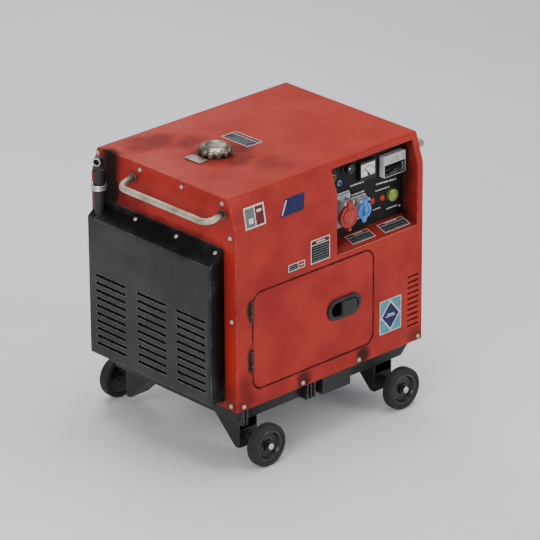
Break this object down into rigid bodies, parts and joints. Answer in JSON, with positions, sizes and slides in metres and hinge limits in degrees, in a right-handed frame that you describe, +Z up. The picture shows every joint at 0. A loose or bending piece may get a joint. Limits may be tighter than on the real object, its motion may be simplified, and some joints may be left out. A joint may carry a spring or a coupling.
{
  "type": "engine driven welder",
  "caption": "Engine driven welder in a red sheet-metal canopy on fixed wheels, with a service door, recessed control console, louvred end cover, lifting handles, exhaust stack and fuel cap.",
  "frame": {"origin": "on the ground under the centre of the machine's outline", "axes": "+Z up, +X along the door side from the exhaust end to the intake end, +Y from the door side to the rear"},
  "size_m": [0.7484, 0.586, 0.739],
  "materials": {
    "canopy_red": "worn satin red enamel on sheet steel",
    "chassis_black": "satin black paint, chipped at the edges",
    "panel_black": "fine textured black",
    "tyre_rubber": "worn solid rubber",
    "hub_black": "glossy black moulding",
    "tube_steel": "tarnished plated tube",
    "cap_nickel": "tarnished nickel with fuel grime",
    "clamp_steel": "bright plated steel",
    "exhaust_iron": "heat-stained black",
    "engine_alloy": "sand-cast alloy",
    "shaft_iron": "machined iron",
    "black_plastic": "black moulding",
    "grey_plastic": "pale grey moulding",
    "red_plastic": "signal red moulding",
    "blue_plastic": "light blue moulding",
    "green_plastic": "translucent yellow-green moulding",
    "seal_rubber": "black sealing rubber"
  },
  "bodies": {
    "canopy": {"base_tray": "chassis_black", "leg_front_left": "chassis_black", "leg_front_right": "chassis_black", "leg_rear_left": "chassis_black", "leg_rear_right": "chassis_black", "front_panel": "canopy_red", "rear_panel": "canopy_red", "left_end_panel": "canopy_red", "right_end_panel": "canopy_red", "roof_panel": "canopy_red", "hinge_leaf_lower": "chassis_black", "hinge_leaf_upper": "chassis_black", "end_cover": "chassis_black", "handle_left": "tube_steel", "handle_right": "tube_steel", "exhaust_pipe": "exhaust_iron", "exhaust_clamp": "clamp_steel", "fuel_tank": "chassis_black", "fuel_gauge": "cap_nickel", "console_tub": "canopy_red", "control_plate": "panel_black", "panel_meter": "black_plastic", "breaker_case": "grey_plastic", "red_socket": "grey_plastic", "blue_socket": "grey_plastic", "weld_socket_positive": "black_plastic", "weld_socket_negative": "black_plastic", "engine_rails": "chassis_black", "engine_block": "engine_alloy", "cylinder_head": "engine_alloy", "flywheel_shroud": "chassis_black", "generator_housing": "engine_alloy", "muffler": "exhaust_iron", "battery": "black_plastic", "air_cleaner": "black_plastic"},
    "wheel_front_left": {"tyre_front_left": "tyre_rubber", "rim_front_left": "hub_black"},
    "wheel_front_right": {"tyre_front_right": "tyre_rubber", "rim_front_right": "hub_black"},
    "wheel_rear_left": {"tyre_rear_left": "tyre_rubber", "rim_rear_left": "hub_black"},
    "wheel_rear_right": {"tyre_rear_right": "tyre_rubber", "rim_rear_right": "hub_black"},
    "door": {"door_panel": "canopy_red", "door_hinge_lower": "chassis_black", "door_hinge_upper": "chassis_black", "latch_body": "black_plastic"},
    "paddle": {"latch_paddle": "black_plastic"},
    "bolt": {"latch_bolt": "clamp_steel"},
    "cap_seal": {"cap_gasket": "seal_rubber"},
    "cap": {"fuel_cap": "cap_nickel"},
    "knob": {"current_knob": "black_plastic"},
    "lever": {"breaker_lever": "grey_plastic"},
    "red_lid": {"red_socket_lid": "red_plastic"},
    "blue_lid": {"blue_socket_lid": "blue_plastic"},
    "red_button_1": {"red_button_left": "red_plastic"},
    "red_button_2": {"red_button_right": "red_plastic"},
    "start_button": {"green_button": "green_plastic"},
    "crank_set": {"crankshaft": "shaft_iron", "generator_rotor": "shaft_iron"}
  },
  "joints": [
    {"name": "wheel_front_left_roll", "type": "hinge", "parent": "canopy", "child": "wheel_front_left", "pos_m": [-0.232, -0.273, 0.055], "axis": [0, 1, 0], "continuous": true},
    {"name": "wheel_front_right_roll", "type": "hinge", "parent": "canopy", "child": "wheel_front_right", "pos_m": [0.232, -0.273, 0.055], "axis": [0, 1, 0], "continuous": true},
    {"name": "wheel_rear_left_roll", "type": "hinge", "parent": "canopy", "child": "wheel_rear_left", "pos_m": [-0.232, 0.273, 0.055], "axis": [0, 1, 0], "continuous": true},
    {"name": "wheel_rear_right_roll", "type": "hinge", "parent": "canopy", "child": "wheel_rear_right", "pos_m": [0.232, 0.273, 0.055], "axis": [0, 1, 0], "continuous": true},
    {"name": "door_swing", "type": "hinge", "parent": "canopy", "child": "door", "pos_m": [-0.265, -0.259, 0.3325], "axis": [0, 0, -1], "range_deg": [0, 110]},
    {"name": "paddle_pull", "type": "hinge", "parent": "door", "child": "paddle", "pos_m": [0.078, -0.262, 0.334], "axis": [0, 0, 1], "range_deg": [0, 30], "stiffness_Nm_per_rad": 0.15},
    {"name": "bolt_draw", "type": "slide", "parent": "door", "child": "bolt", "axis": [1, 0, 0], "range_m": [-0.009, 0]},
    {"name": "cap_lift", "type": "slide", "parent": "canopy", "child": "cap_seal", "axis": [0, 0, 1], "range_m": [0, 0.08]},
    {"name": "cap_turn", "type": "hinge", "parent": "cap_seal", "child": "cap", "pos_m": [-0.139, 0.002, 0.722], "axis": [0, 0, 1], "range_deg": [0, 90]},
    {"name": "knob_turn", "type": "hinge", "parent": "canopy", "child": "knob", "pos_m": [0.102, -0.22, 0.671], "axis": [0, 1, 0], "range_deg": [-135, 135]},
    {"name": "lever_throw", "type": "hinge", "parent": "canopy", "child": "lever", "pos_m": [0.253, -0.218, 0.63], "axis": [1, 0, 0], "range_deg": [-25, 25]},
    {"name": "red_lid_lift", "type": "hinge", "parent": "canopy", "child": "red_lid", "pos_m": [0.082, -0.2375, 0.592], "axis": [-1, 0, 0], "range_deg": [0, 100], "stiffness_Nm_per_rad": 0.02, "springref_deg": -11.46},
    {"name": "blue_lid_lift", "type": "hinge", "parent": "canopy", "child": "blue_lid", "pos_m": [0.142, -0.2315, 0.579], "axis": [-1, 0, 0], "range_deg": [0, 100], "stiffness_Nm_per_rad": 0.015, "springref_deg": -11.46},
    {"name": "red_button_left_push", "type": "slide", "parent": "canopy", "child": "red_button_1", "axis": [0, 1, 0], "range_m": [0, 0.003], "stiffness_N_per_m": 300},
    {"name": "red_button_right_push", "type": "slide", "parent": "canopy", "child": "red_button_2", "axis": [0, 1, 0], "range_m": [0, 0.003], "stiffness_N_per_m": 300},
    {"name": "green_button_push", "type": "slide", "parent": "canopy", "child": "start_button", "axis": [0, 1, 0], "range_m": [0, 0.004], "stiffness_N_per_m": 400},
    {"name": "crank_spin", "type": "hinge", "parent": "canopy", "child": "crank_set", "pos_m": [-0.023, 0.005, 0.312], "axis": [1, 0, 0], "continuous": true}
  ],
  "couplings": [
    {"joint": "bolt_draw", "follows": "paddle_pull", "m_per_rad": -0.0165}
  ]
}
